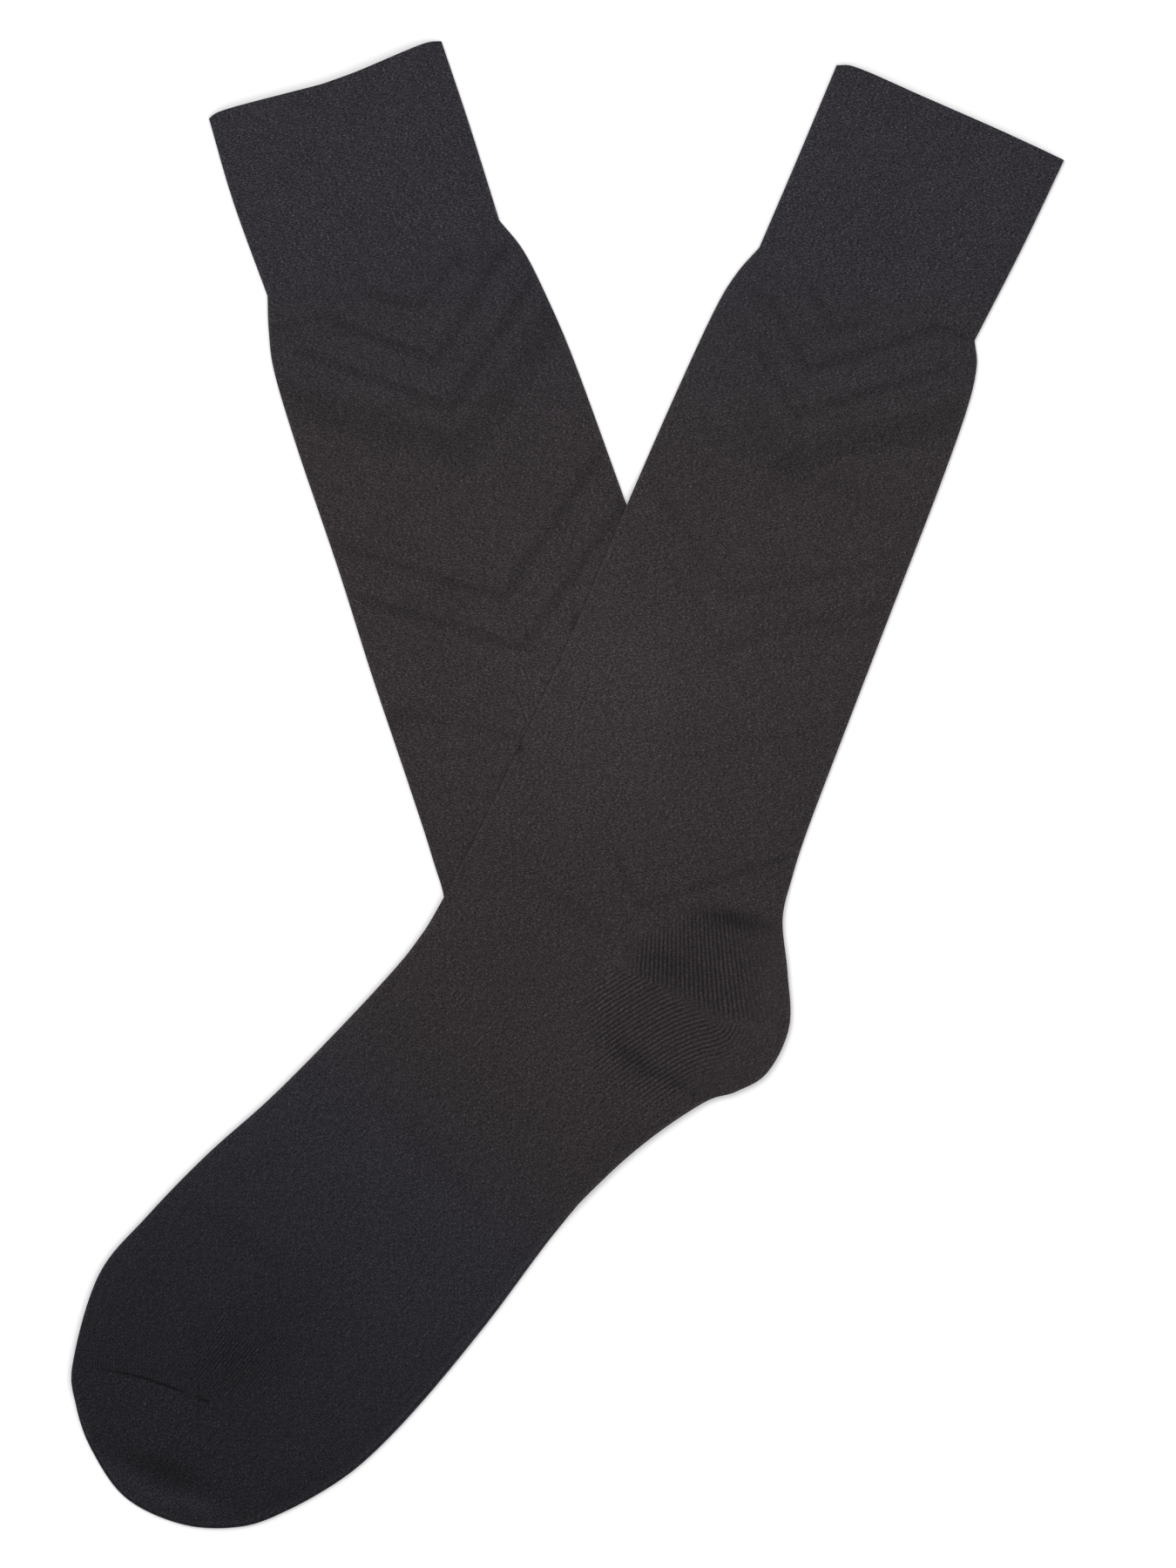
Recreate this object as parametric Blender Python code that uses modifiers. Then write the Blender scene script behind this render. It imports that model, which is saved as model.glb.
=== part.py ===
"""Pair of knitted mid-calf dress socks, laid flat in a V, one over the other.

Each sock is a flattened knitted tube: a turned cuff, a leg, a heel pocket, a
foot and a toe pocket, all of them walls of cloth with a slit of room inside.
The lower sock lies on Z = 0. The upper one covers its ankle, heel and foot,
and its leg comes down to the surface beside it.

The tables are in millimetres and the meshes in metres, with +Z up. The
origin is at the bottom centre of the pair, and the toes point to -X, -Y.
"""

import math
from typing import NamedTuple

import bmesh
import bpy

MM = 0.001

# Cloth, in millimetres.
WALL = 1.0             # fine flat knit of the leg, heel, foot and toe
CUFF_WALL = 1.2        # the cuff is turned and double
SOCK_THICK = 2.8       # a flattened sock, both panels and the slit between them
SEAM_GAP = 0.5         # between two pieces at a seam, narrower inside slanting folds
LAY_GAP = 0.3          # between the lower sock and the upper one
FOLD = SOCK_THICK / 2  # radius of the folded edges

# How the upper sock comes down beside the lower one, in millimetres.
DRAPE_CLEAR = 5.0      # it stays level this far past the lower sock's edge
DRAPE_RUN = 16.0       # and reaches the surface over this run

# Fineness of the faceted cloth.
COLUMNS = 12           # spaces across a panel, even, so that the gore is a column
DRAPED_COLUMNS = 16    # the same where the cloth also steps down
ROW_STEP = 13.0        # longest stretch of a fold between two rows, in millimetres
FOLD_ANGLES = (50, 0, -50)        # points round a folded edge, in degrees


class Row(NamedTuple):
    """A section across the flattened tube, in millimetres.

    It runs from the front fold to the back fold, straight across or through a
    gore, where a pocket's seam ends halfway. The bends are what it passes
    before and after the gore. shows says how far the lower sock's front and
    back folds show past the upper one's, or hide inside them where negative.
    """
    place: str
    front: tuple
    back: tuple
    gore: tuple = ()
    bends_before: tuple = ()
    bends_after: tuple = ()
    shows: tuple = (0.0, 0.0)


class PocketRow(NamedTuple):
    """A section of a heel or toe pocket, from its gore to its folded edge."""
    place: str
    fold: tuple
    bends: tuple = ()
    shows: float = 0.0


# Where the seams of the pockets end, and the points that the seams pass.
UPPER_GORE = (15.0, -55.7)
UPPER_ANKLE_ARCH = ((20.0, -47.5), (33.0, -38.8), (48.0, -36.6))
UPPER_SOLE_BEND = ((11.5, -70.0), (17.5, -82.5))
LOWER_GORE = (12.5, -53.0)
LOWER_ANKLE_ARCH = ((17.0, -45.0), (29.0, -35.0), (43.0, -31.0))
LOWER_SOLE_BEND = ((9.5, -68.0), (15.5, -80.5))
TOE_SIDE = (-109.3, -187.3)
TOE_SEAM_CROWN = ((-130.0, -179.8),)
TOE_SOLE_BEND = ((-99.0, -200.0),)

# The tops: where the two legs part, each sock has its own rows.
UPPER_CUFF = (
    Row("top edge", (81.6, 218.9), (150.8, 190.0), (108.5, 209.0), ((88.0, 218.0),),
        ((129.5, 199.8),)),
    Row("middle", (69.2, 189.4), (138.0, 163.2)),
    Row("lower edge", (58.1, 163.5), (123.6, 135.2)),
)
UPPER_LEG = (
    Row("swell", (51.2, 155.6), (124.2, 127.0)),
    Row("calf", (44.5, 144.5), (121.1, 113.7)),
    Row("calf, lower", (32.2, 118.0), (111.9, 88.0)),
    Row("fork of the pair", (17.5, 84.5), (98.5, 53.5)),
    Row("shin", (1.5, 47.0), (85.0, 18.5)),
    Row("shin, lower", (-15.0, 11.4), (73.0, -13.0)),
    Row("above the ankle", (-29.0, -17.5), (68.0, -28.5)),
    Row("ankle", (-40.0, -38.0), (65.2, -41.0), UPPER_GORE,
        bends_after=UPPER_ANKLE_ARCH),
)
LOWER_CUFF = (
    Row("top edge", (-109.3, 202.6), (-38.6, 226.2), (-75.0, 213.0), ((-104.0, 205.4),),
        ((-64.0, 217.0), (-44.5, 225.2))),
    Row("middle", (-101.9, 177.3), (-30.2, 201.2)),
    Row("lower edge", (-91.5, 148.7), (-21.0, 171.8)),
)
LOWER_LEG = (
    Row("swell", (-91.1, 138.0), (-13.8, 162.8)),
    Row("calf", (-89.4, 125.5), (-7.0, 149.5)),
    Row("calf, lower", (-82.5, 102.5), (1.2, 130.5)),
    Row("fork of the pair", (-70.1, 66.0), (14.0, 95.5)),
    Row("shin", (-59.5, 32.6), (25.8, 62.3)),
    Row("shin, lower", (-48.4, -0.3), (37.3, 30.5)),
    Row("above the ankle", (-41.4, -22.0), (49.0, -3.5)),
    Row("ankle", (-37.8, -37.0), (58.8, -31.5), LOWER_GORE,
        bends_after=LOWER_ANKLE_ARCH),
)

# The heel pockets, from the ankle round the heel to the sole.
UPPER_HEEL = (
    PocketRow("ankle seam", (65.2, -41.0), UPPER_ANKLE_ARCH),
    PocketRow("back of the heel", (66.7, -57.0)),
    PocketRow("gore line", (67.2, -73.5), ((29.8, -61.5), (45.2, -71.0))),
    PocketRow("turn of the heel", (60.6, -87.4)),
    PocketRow("under the heel", (51.0, -93.3), ((17.0, -69.0), (28.0, -82.0))),
    PocketRow("sole seam", (42.0, -96.2), UPPER_SOLE_BEND),
)
LOWER_HEEL = (
    PocketRow("ankle seam", (58.8, -31.5), LOWER_ANKLE_ARCH),
    PocketRow("back of the heel", (62.8, -49.0)),
    PocketRow("gore line", (64.2, -68.0), ((27.0, -58.0), (42.5, -66.5))),
    PocketRow("turn of the heel", (58.6, -84.8)),
    PocketRow("under the heel", (49.5, -91.0), ((15.0, -67.0), (26.0, -80.0))),
    PocketRow("sole seam", (40.8, -94.6), LOWER_SOLE_BEND),
)

# The feet and toes, one on the other, share an outline.
FOOT = (
    Row("instep", (-45.5, -46.7), (27.0, -106.0), shows=(-2.0, -1.5)),
    Row("arch", (-53.5, -56.7), (12.5, -118.2), shows=(-2.0, -0.8)),
    Row("middle of the foot", (-71.0, -75.5), (-5.0, -137.4), shows=(-2.0, 0.7)),
    Row("before the ball", (-90.5, -95.1), (-24.0, -162.8), shows=(-2.0, 1.1)),
    Row("ball of the foot", (-110.0, -112.5), (-43.0, -186.0), shows=(-2.0, 1.2)),
    Row("past the ball", (-128.0, -131.0), (-57.9, -201.9), shows=(-1.6, 1.1)),
    Row("root of the toes", (-142.8, -149.0), (-69.6, -211.6), shows=(-1.0, 1.0)),
    Row("toe seam", (-150.8, -176.4), (-85.3, -220.6), TOE_SIDE,
        TOE_SEAM_CROWN, TOE_SOLE_BEND, (-0.4, 1.0)),
)
# The toe pockets, from the sole round the tip to the top of the foot.
TOE = (
    PocketRow("sole end of the seam", (-85.3, -220.6), TOE_SOLE_BEND, 1.0),
    PocketRow("under the toes", (-99.5, -225.6), shows=1.0),
    PocketRow("tip, lower", (-117.0, -225.0), shows=1.0),
    PocketRow("tip", (-134.4, -217.0), shows=1.0),
    PocketRow("tip, upper", (-144.8, -202.6), shows=0.9),
    PocketRow("over the toes", (-149.7, -189.0), shows=0.5),
    PocketRow("top end of the seam", (-150.8, -176.4), TOE_SEAM_CROWN, -0.4),
)

COLOURS = {  # linear base colour of each knitted zone
    "cuff": (0.031, 0.029, 0.036),
    "leg": (0.036, 0.031, 0.032),
    "heel": (0.029, 0.025, 0.026),
    "foot": (0.025, 0.023, 0.026),
    "toe": (0.016, 0.015, 0.019),
}


# ---------------------------------------------------------------- curves

def blend(a, b, t):
    """The point that lies the fraction t of the way from a to b."""
    return tuple(p + (q - p) * t for p, q in zip(a, b))


def catmull_rom(before, start, end, after, t):
    """A point on the smooth curve from start to end."""
    def axis(p, q, r, s):
        return 0.5 * (2 * q + (r - p) * t + (2 * p - 5 * q + 4 * r - s) * t ** 2
                      + (3 * q - p - 3 * r + s) * t ** 3)
    return tuple(axis(*values) for values in zip(before, start, end, after))


def smooth_point(points, place):
    """The point at a place, counted in points, on a smooth curve through them."""
    first = min(int(place), len(points) - 2)
    start, end = points[first], points[first + 1]
    before = points[first - 1] if first else blend(end, start, 2.0)
    after = points[first + 2] if first + 2 < len(points) else blend(start, end, 2.0)
    return catmull_rom(before, start, end, after, place - first)


def evenly_along(points, spaces):
    """Points at even distances along a smooth curve, from end to end."""
    fine = [smooth_point(points, i / 16) for i in range(16 * (len(points) - 1) + 1)]
    lengths = [0.0]
    for a, b in zip(fine, fine[1:]):
        lengths.append(lengths[-1] + math.dist(a, b))
    result, k = [], 0
    for i in range(spaces + 1):
        wanted = lengths[-1] * i / spaces
        while k < len(fine) - 2 and lengths[k + 1] < wanted:
            k += 1
        share = (wanted - lengths[k]) / (lengths[k + 1] - lengths[k])
        result.append(blend(fine[k], fine[k + 1], share))
    return result


def line_across(row, columns):
    """A row's points from the front fold to the back fold, one for each column."""
    if not row.gore:
        return [blend(row.front, row.back, j / columns) for j in range(columns + 1)]
    to_gore = (row.front, *row.bends_before, row.gore)
    from_gore = (row.gore, *row.bends_after, row.back)
    half = columns // 2
    return evenly_along(to_gore, half)[:-1] + evenly_along(from_gore, half)


def spread(lines):
    """The lines, with more between them so that no fold is left coarse."""
    result = []
    for k in range(len(lines) - 1):
        reach = max(math.dist(lines[k][end], lines[k + 1][end]) for end in (0, -1))
        steps = max(1, math.ceil(reach / ROW_STEP))
        for step in range(steps):
            result.append([smooth_point(column, k + step / steps)
                           for column in zip(*lines)])
    return result + [lines[-1]]


def square_to(a, b):
    """The unit vector square to the run from a to b, on its right."""
    run = math.dist(a, b)
    return ((b[1] - a[1]) / run, (a[0] - b[0]) / run)


def mitred(point, first, second, distance):
    """A corner moved aside, so that both its sides move by the distance."""
    scale = distance / (1 + first[0] * second[0] + first[1] * second[1])
    return (point[0] + (first[0] + second[0]) * scale,
            point[1] + (first[1] + second[1]) * scale)


def moved_aside(line, distance):
    """A line shifted square to itself, to its right where distance is positive."""
    sides = [square_to(a, b) for a, b in zip(line, line[1:])]
    sides = sides[:1] + sides + sides[-1:]
    return [mitred(point, sides[j], sides[j + 1], distance)
            for j, point in enumerate(line)]


def tube_lines(rows, columns):
    """The lines of a tube, drawn back by half a gap at both its seams."""
    lines = spread([line_across(row, columns) for row in rows])
    lines[0] = moved_aside(lines[0], SEAM_GAP / 2)
    lines[-1] = moved_aside(lines[-1], -SEAM_GAP / 2)
    return lines


def pocket_lines(gore, rows, columns):
    """The lines of a pocket, which fan out from its gore to its folded edge.

    Its first and last line are its seam, and are drawn back like a tube's.
    """
    half = columns // 2
    lines = spread([evenly_along((gore, *row.bends, row.fold), half) for row in rows])
    first_side = square_to(lines[0][0], lines[0][1])
    last_side = square_to(lines[-1][1], lines[-1][0])
    centre = mitred(gore, first_side, last_side, SEAM_GAP / 2)
    lines[0] = moved_aside(lines[0], SEAM_GAP / 2)
    lines[-1] = moved_aside(lines[-1], -SEAM_GAP / 2)
    return [[centre] + line[1:] for line in lines]


# ---------------------------------------------------------------- the surface below

def smoothstep(t):
    t = min(max(t, 0.0), 1.0)
    return t * t * (3 - 2 * t)


def distance_to_segment(point, a, b):
    run = (b[0] - a[0], b[1] - a[1])
    length_squared = max(run[0] ** 2 + run[1] ** 2, 1e-12)
    share = ((point[0] - a[0]) * run[0] + (point[1] - a[1]) * run[1]) / length_squared
    return math.dist(point, blend(a, b, min(max(share, 0.0), 1.0)))


def distance_outside(point, outline):
    """How far a point lies outside a closed outline, and 0 inside it."""
    inside = False
    nearest = math.inf
    for a, b in zip(outline, outline[1:] + outline[:1]):
        nearest = min(nearest, distance_to_segment(point, a, b))
        if (a[1] > point[1]) != (b[1] > point[1]):
            crossing = a[0] + (point[1] - a[1]) / (b[1] - a[1]) * (b[0] - a[0])
            inside ^= point[0] < crossing
    return 0.0 if inside else nearest


def on_surface(point):
    return 0.0


def over_lower_sock(outline):
    """The height that the upper sock's underside has over each point."""
    def height(point):
        out = distance_outside(point, outline)
        return (SOCK_THICK + LAY_GAP) * (1 - smoothstep((out - DRAPE_CLEAR) / DRAPE_RUN))
    return height


# ---------------------------------------------------------------- walls of cloth

def fold_points(edge, panel_end, angles, base):
    """Points round a folded edge, outside the end of the panel."""
    result = []
    for angle in angles:
        x, y = blend(panel_end, edge, math.cos(math.radians(angle)))
        z = base((x, y)) + FOLD + FOLD * math.sin(math.radians(angle))
        result.append((x, y, z))
    return result


def section(line, base, closed):
    """The outer face of the cloth along a line: both panels and the folds.

    A closed section goes all the way round. An open one, in a pocket, goes
    from the gore round the back fold to the gore again.
    """
    front, back = line[0], line[-1]
    panel = list(line)
    panel[-1] = blend(back, line[-2], FOLD / math.dist(back, line[-2]))
    if closed:
        panel[0] = blend(front, line[1], FOLD / math.dist(front, line[1]))
    top = [(x, y, base((x, y)) + SOCK_THICK) for x, y in panel]
    under = [(x, y, base((x, y))) for x, y in reversed(panel)]
    around = top + fold_points(back, panel[-1], FOLD_ANGLES, base) + under
    if closed:
        around += fold_points(front, panel[0], FOLD_ANGLES[::-1], base)
    return around


def knitted_wall(name, sections, closed, wall, zone, collection):
    """Join the sections into one face of cloth and give it its thickness."""
    mesh = bpy.data.meshes.new(name)
    cloth = bmesh.new()
    rows = [[cloth.verts.new([c * MM for c in point]) for point in points]
            for points in sections]
    count = len(sections[0])
    for upper, lower in zip(rows, rows[1:]):
        for j in range(count if closed else count - 1):
            k = (j + 1) % count
            cloth.faces.new((upper[j], lower[j], lower[k], upper[k]))
    bmesh.ops.remove_doubles(cloth, verts=cloth.verts, dist=1e-6)
    cloth.to_mesh(mesh)
    cloth.free()
    mesh.shade_smooth()
    piece = bpy.data.objects.new(name, mesh)
    thickness = piece.modifiers.new("wall", "SOLIDIFY")
    thickness.thickness = wall * MM
    thickness.offset = -1.0
    thickness.use_even_offset = True
    mesh.materials.append(knit_material(name, zone))
    collection.objects.link(piece)


def knit_material(name, zone):
    material = bpy.data.materials.new(name)
    material.use_nodes = True
    shader = material.node_tree.nodes["Principled BSDF"]
    shader.inputs["Base Color"].default_value = (*COLOURS[zone], 1.0)
    shader.inputs["Roughness"].default_value = 0.9
    shader.inputs["Metallic"].default_value = 0.0
    return material


# ---------------------------------------------------------------- the socks

def towards(edge, inner, distance):
    return blend(edge, inner, max(distance, 0.0) / math.dist(edge, inner))


def foot_rows(sign):
    """The foot's rows in one sock: the upper one for +1, the lower for -1.

    Where a sock hides at a fold, its row is drawn in from the shared outline.
    """
    result = []
    for row in FOOT:
        inner_front = (*row.bends_before, row.back)[0]
        inner_back = (row.front, *row.bends_after)[-1]
        result.append(row._replace(
            front=towards(row.front, inner_front, sign * row.shows[0]),
            back=towards(row.back, inner_back, sign * row.shows[1])))
    return result


def toe_rows(sign):
    """The toe's rows in one sock, drawn in as the foot's are."""
    return [row._replace(fold=towards(row.fold, (TOE_SIDE, *row.bends)[-1],
                                      sign * row.shows)) for row in TOE]


def sock_lines(cuff, leg, gore, heel, sign, columns):
    """The lines of each piece of one sock, parted at the seams."""
    heel_seam = Row("heel seam", leg[-1].front, heel[-1].fold, gore,
                    bends_after=heel[-1].bends)
    return {
        "cuff": tube_lines(cuff, COLUMNS),
        "leg": tube_lines(cuff[-1:] + leg, columns),
        "heel": pocket_lines(gore, heel, columns),
        "foot": tube_lines([heel_seam] + foot_rows(sign), columns),
        "toe": pocket_lines(TOE_SIDE, toe_rows(sign), columns),
    }


def outline_of(lines):
    """The closed outline of a flattened sock, down its front and up its back."""
    front = [line[0] for zone in ("cuff", "leg", "foot") for line in lines[zone]]
    toe = [line[-1] for line in reversed(lines["toe"])]
    back = [line[-1] for zone in ("foot", "heel", "leg", "cuff")
            for line in reversed(lines[zone])]
    return front + toe + back


def build_sock(side, lines, base, collection):
    """The five knitted pieces of one sock."""
    for zone, around in lines.items():
        closed = zone not in ("heel", "toe")
        wall = CUFF_WALL if zone == "cuff" else WALL
        sections = [section(line, base, closed) for line in around]
        knitted_wall(f"{side}_{zone}", sections, closed, wall, zone, collection)


def main():
    for thing in list(bpy.data.objects):
        bpy.data.objects.remove(thing, do_unlink=True)
    pair = bpy.data.collections.new("pair_of_socks")
    bpy.context.scene.collection.children.link(pair)
    lower = sock_lines(LOWER_CUFF, LOWER_LEG, LOWER_GORE, LOWER_HEEL, -1, COLUMNS)
    upper = sock_lines(UPPER_CUFF, UPPER_LEG, UPPER_GORE, UPPER_HEEL, 1, DRAPED_COLUMNS)
    build_sock("lower", lower, on_surface, pair)
    build_sock("upper", upper, over_lower_sock(outline_of(lower)), pair)


main()
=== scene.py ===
"""Looks of the pair of knitted dress socks, laid flat in a V.

Each knitted zone of each sock is a fine shell of cloth on the form of its CAD
node: the flattened tube with its folded edges, the tonal chevron bands knitted
into the leg, the wales of the heel and toe, the seams, and soft creases, with
painted light and shade in the colour of the cloth.

Lengths in the tables are in millimetres, and the meshes are in metres.
"""

import math
from typing import NamedTuple

import bpy
import numpy as np
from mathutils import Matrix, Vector


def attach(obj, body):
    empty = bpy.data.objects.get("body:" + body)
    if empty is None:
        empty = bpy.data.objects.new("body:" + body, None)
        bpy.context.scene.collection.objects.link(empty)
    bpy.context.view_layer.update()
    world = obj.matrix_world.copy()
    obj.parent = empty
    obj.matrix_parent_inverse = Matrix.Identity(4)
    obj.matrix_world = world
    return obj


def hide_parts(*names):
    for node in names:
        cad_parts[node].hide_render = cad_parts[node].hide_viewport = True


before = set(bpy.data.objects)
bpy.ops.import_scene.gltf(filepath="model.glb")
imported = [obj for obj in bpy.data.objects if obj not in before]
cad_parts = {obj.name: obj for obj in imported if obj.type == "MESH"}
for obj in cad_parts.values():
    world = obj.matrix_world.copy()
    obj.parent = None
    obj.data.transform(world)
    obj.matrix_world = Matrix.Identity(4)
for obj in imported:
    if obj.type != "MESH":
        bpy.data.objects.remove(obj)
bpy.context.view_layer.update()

MM = 0.001

# ------------------------------------------------------------------ sizes, in mm
SHELL = 0.22            # thickness of the fine knit
CUFF_SHELL = 0.24       # the turned double cuff
SOCK_THICK = 2.6        # a flattened sock
EDGE_THICK = 0.9        # and its pressed, folded edges
PRESSED_EDGE = 0.5      # an edge that lies on the other sock
EDGE_RUN = 12.0         # it thins towards them over this run
PUFF = 2.4              # how soon it fills out, from 1 for evenly
FOLD = EDGE_THICK / 2   # radius of the folds
FOLD_SAG = 1.7          # how low down they bulge, from 1 for half way up
SEAM_GAP = -0.05        # the pieces just lap at their seams
LAY_GAP = 0.05          # between the lower sock and the upper one
DRAPE_CLEAR = 1.0       # the upper sock stays level this far past the lower one
DRAPE_RUN = 9.0         # and comes down over this run
WAVE_DEPTH = 0.12       # of the gentle waves in the laid cloth
JOIN_DEPTH = 0.05       # of the join of the cuff and the leg
JOIN_WIDTH = 0.9
MAP_UNIT = 100.0        # one unit of a map is this many millimetres, or ribs

FINE = 1.0
ACROSS_STEP = 1.1 / FINE    # spacing of the mesh across a panel
ALONG_STEP = 1.4 / FINE     # and along the tube
OUTLINE_STEP = 6.0          # along the outlines that distances are measured from
SEAM_ROWS = (0.35, 0.8, 1.5)  # closer rows beside a seam
FOLD_STEPS = 7              # points round a folded edge


class Row(NamedTuple):
    """A section across the flattened tube, from the front fold to the back.

    Shows is how much of the lower sock shows past the upper one's two folds.
    Where it is negative, the lower sock's fold lies that far inside.
    """
    place: str
    front: tuple
    back: tuple
    gore: tuple = ()
    bends_before: tuple = ()
    bends_after: tuple = ()
    shows: tuple = (0.0, 0.0)


class PocketRow(NamedTuple):
    """A section of a heel or toe pocket, from its gore to its folded edge."""
    place: str
    fold: tuple
    bends: tuple = ()
    shows: float = 0.0


UPPER_GORE = (15.0, -55.7)
UPPER_ANKLE_ARCH = ((20.0, -47.5), (33.0, -38.8), (48.0, -36.6))
UPPER_SOLE_BEND = ((11.5, -70.0), (17.5, -82.5))
LOWER_GORE = (12.5, -53.0)
LOWER_ANKLE_ARCH = ((17.0, -45.0), (29.0, -35.0), (43.0, -31.0))
LOWER_SOLE_BEND = ((9.5, -68.0), (15.5, -80.5))
TOE_SIDE = (-109.3, -187.3)
TOE_SEAM_CROWN = ((-130.0, -179.8),)
TOE_SOLE_BEND = ((-99.0, -200.0),)

UPPER_CUFF = (
    Row("top edge", (81.6, 218.9), (150.8, 190.0), (108.5, 209.0), ((88.0, 218.0),),
        ((129.5, 199.8),)),
    Row("middle", (69.2, 189.4), (138.0, 163.2)),
    Row("lower edge", (58.1, 163.5), (123.6, 135.2)),
)
UPPER_LEG = (
    Row("swell", (51.2, 155.6), (124.2, 127.0)),
    Row("calf", (44.5, 144.5), (121.1, 113.7)),
    Row("calf, lower", (32.2, 118.0), (111.9, 88.0)),
    Row("fork of the pair", (17.5, 84.5), (98.5, 53.5)),
    Row("shin", (1.5, 47.0), (85.0, 18.5)),
    Row("shin, lower", (-15.0, 11.4), (73.0, -13.0)),
    Row("above the ankle", (-29.0, -17.5), (68.0, -28.5)),
    Row("ankle", (-40.0, -38.0), (65.2, -41.0), UPPER_GORE,
        bends_after=UPPER_ANKLE_ARCH),
)
LOWER_CUFF = (
    Row("top edge", (-109.3, 202.6), (-38.6, 226.2), (-75.0, 213.0), ((-104.0, 205.4),),
        ((-64.0, 217.0), (-44.5, 225.2))),
    Row("middle", (-101.9, 177.3), (-30.2, 201.2)),
    Row("lower edge", (-91.5, 148.7), (-21.0, 171.8)),
)
LOWER_LEG = (
    Row("swell", (-91.1, 138.0), (-13.8, 162.8)),
    Row("calf", (-89.4, 125.5), (-7.0, 149.5)),
    Row("calf, lower", (-82.5, 102.5), (1.2, 130.5)),
    Row("fork of the pair", (-70.1, 66.0), (14.0, 95.5)),
    Row("shin", (-59.5, 32.6), (25.8, 62.3)),
    Row("shin, lower", (-48.4, -0.3), (37.3, 30.5)),
    Row("above the ankle", (-41.4, -22.0), (49.0, -3.5)),
    Row("ankle", (-37.8, -37.0), (58.8, -31.5), LOWER_GORE,
        bends_after=LOWER_ANKLE_ARCH),
)
UPPER_HEEL = (
    PocketRow("ankle seam", (65.2, -41.0), UPPER_ANKLE_ARCH),
    PocketRow("back of the heel", (66.7, -57.0)),
    PocketRow("gore line", (67.2, -73.5), ((29.8, -61.5), (45.2, -71.0))),
    PocketRow("turn of the heel", (60.6, -87.4)),
    PocketRow("under the heel", (51.0, -93.3), ((17.0, -69.0), (28.0, -82.0))),
    PocketRow("sole seam", (42.0, -96.2), UPPER_SOLE_BEND),
)
LOWER_HEEL = (
    PocketRow("ankle seam", (58.8, -31.5), LOWER_ANKLE_ARCH),
    PocketRow("back of the heel", (62.8, -49.0)),
    PocketRow("gore line", (64.2, -68.0), ((27.0, -58.0), (42.5, -66.5))),
    PocketRow("turn of the heel", (58.6, -84.8)),
    PocketRow("under the heel", (49.5, -91.0), ((15.0, -67.0), (26.0, -80.0))),
    PocketRow("sole seam", (40.8, -94.6), LOWER_SOLE_BEND),
)
FOOT = (
    Row("instep", (-45.5, -46.7), (27.0, -106.0), shows=(-2.0, -1.5)),
    Row("arch", (-53.5, -56.7), (12.5, -118.2), shows=(-2.0, -0.8)),
    Row("middle of the foot", (-71.0, -75.5), (-5.0, -137.4), shows=(-2.0, 0.7)),
    Row("before the ball", (-90.5, -95.1), (-24.0, -162.8), shows=(-2.0, 1.1)),
    Row("ball of the foot", (-110.0, -112.5), (-43.0, -186.0), shows=(-2.0, 1.2)),
    Row("past the ball", (-128.0, -131.0), (-57.9, -201.9), shows=(-1.6, 1.1)),
    Row("root of the toes", (-142.8, -149.0), (-69.6, -211.6), shows=(-1.0, 1.0)),
    Row("toe seam", (-150.8, -176.4), (-85.3, -220.6), TOE_SIDE,
        TOE_SEAM_CROWN, TOE_SOLE_BEND, (-0.4, 1.0)),
)
TOE = (
    PocketRow("sole end of the seam", (-85.3, -220.6), TOE_SOLE_BEND, 1.0),
    PocketRow("under the toes", (-99.5, -225.6), shows=1.0),
    PocketRow("tip, lower", (-117.0, -225.0), shows=1.0),
    PocketRow("tip", (-134.4, -217.0), shows=1.0),
    PocketRow("tip, upper", (-144.8, -202.6), shows=0.9),
    PocketRow("over the toes", (-149.7, -189.0), shows=0.5),
    PocketRow("top end of the seam", (-150.8, -176.4), TOE_SEAM_CROWN, -0.4),
)


# ------------------------------------------------------------------ bands and creases

class Band(NamedTuple):
    """A tonal chevron: where its point is, its rise, and how far each arm shows.

    The point is below the cuff's edge, and aside from the middle of the leg
    towards the back. The rise is in degrees, and front and back are how strongly
    each arm shows.
    """
    below: float
    aside: float
    width: float
    rise: float
    front_reach: float
    back_reach: float
    front: float
    back: float


UPPER_BANDS = (
    Band(13.3, -4.0, 3.4, 36, 12.5, 8.5, 0.7, 0.8),
    Band(27.8, -7.6, 3.1, 40, 20.0, 32.0, 0.75, 1.0),
    Band(41.8, -6.0, 3.1, 39, 20.0, 38.0, 0.65, 1.0),
    Band(56.8, -5.0, 9.5, 37, 16.0, 45.0, 0.45, 0.75),
    Band(100.0, -3.5, 3.0, 34, 36.0, 40.0, 0.50, 0.60),
    Band(115.9, -0.5, 3.0, 36, 33.0, 41.0, 0.30, 0.65),
    Band(153.4, 0.0, 3.2, 36, 8.0, 38.0, 0.15, 0.35),
    Band(197.7, 7.7, 3.0, 41, 14.3, 36.0, 0.55, 0.80),
)
LOWER_BANDS = (
    Band(16.3, 5.2, 3.4, 30, 15.0, 18.5, 0.9, 0.8),
    Band(34.5, 5.2, 3.4, 40, 31.5, 31.0, 1.0, 1.0),
    Band(49.2, 5.0, 3.4, 39, 39.5, 35.0, 1.0, 0.95),
    Band(63.7, 3.5, 10.0, 37, 44.0, 40.0, 0.75, 0.75),
    Band(109.3, 0.3, 3.2, 37, 43.0, 42.5, 0.85, 1.0),
    Band(125.0, 1.2, 3.4, 35.5, 42.0, 45.0, 0.85, 1.0),
    Band(155.0, -2.0, 3.2, 31, 42.0, 40.0, 0.40, 0.40),
)
BAND_END = 2.5        # an arm ends over this run
BAND_DEPTH = 0.10     # the bands are knitted a little tighter, and lie lower
BAND_SHADE = 0.20     # and look this much darker


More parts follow.
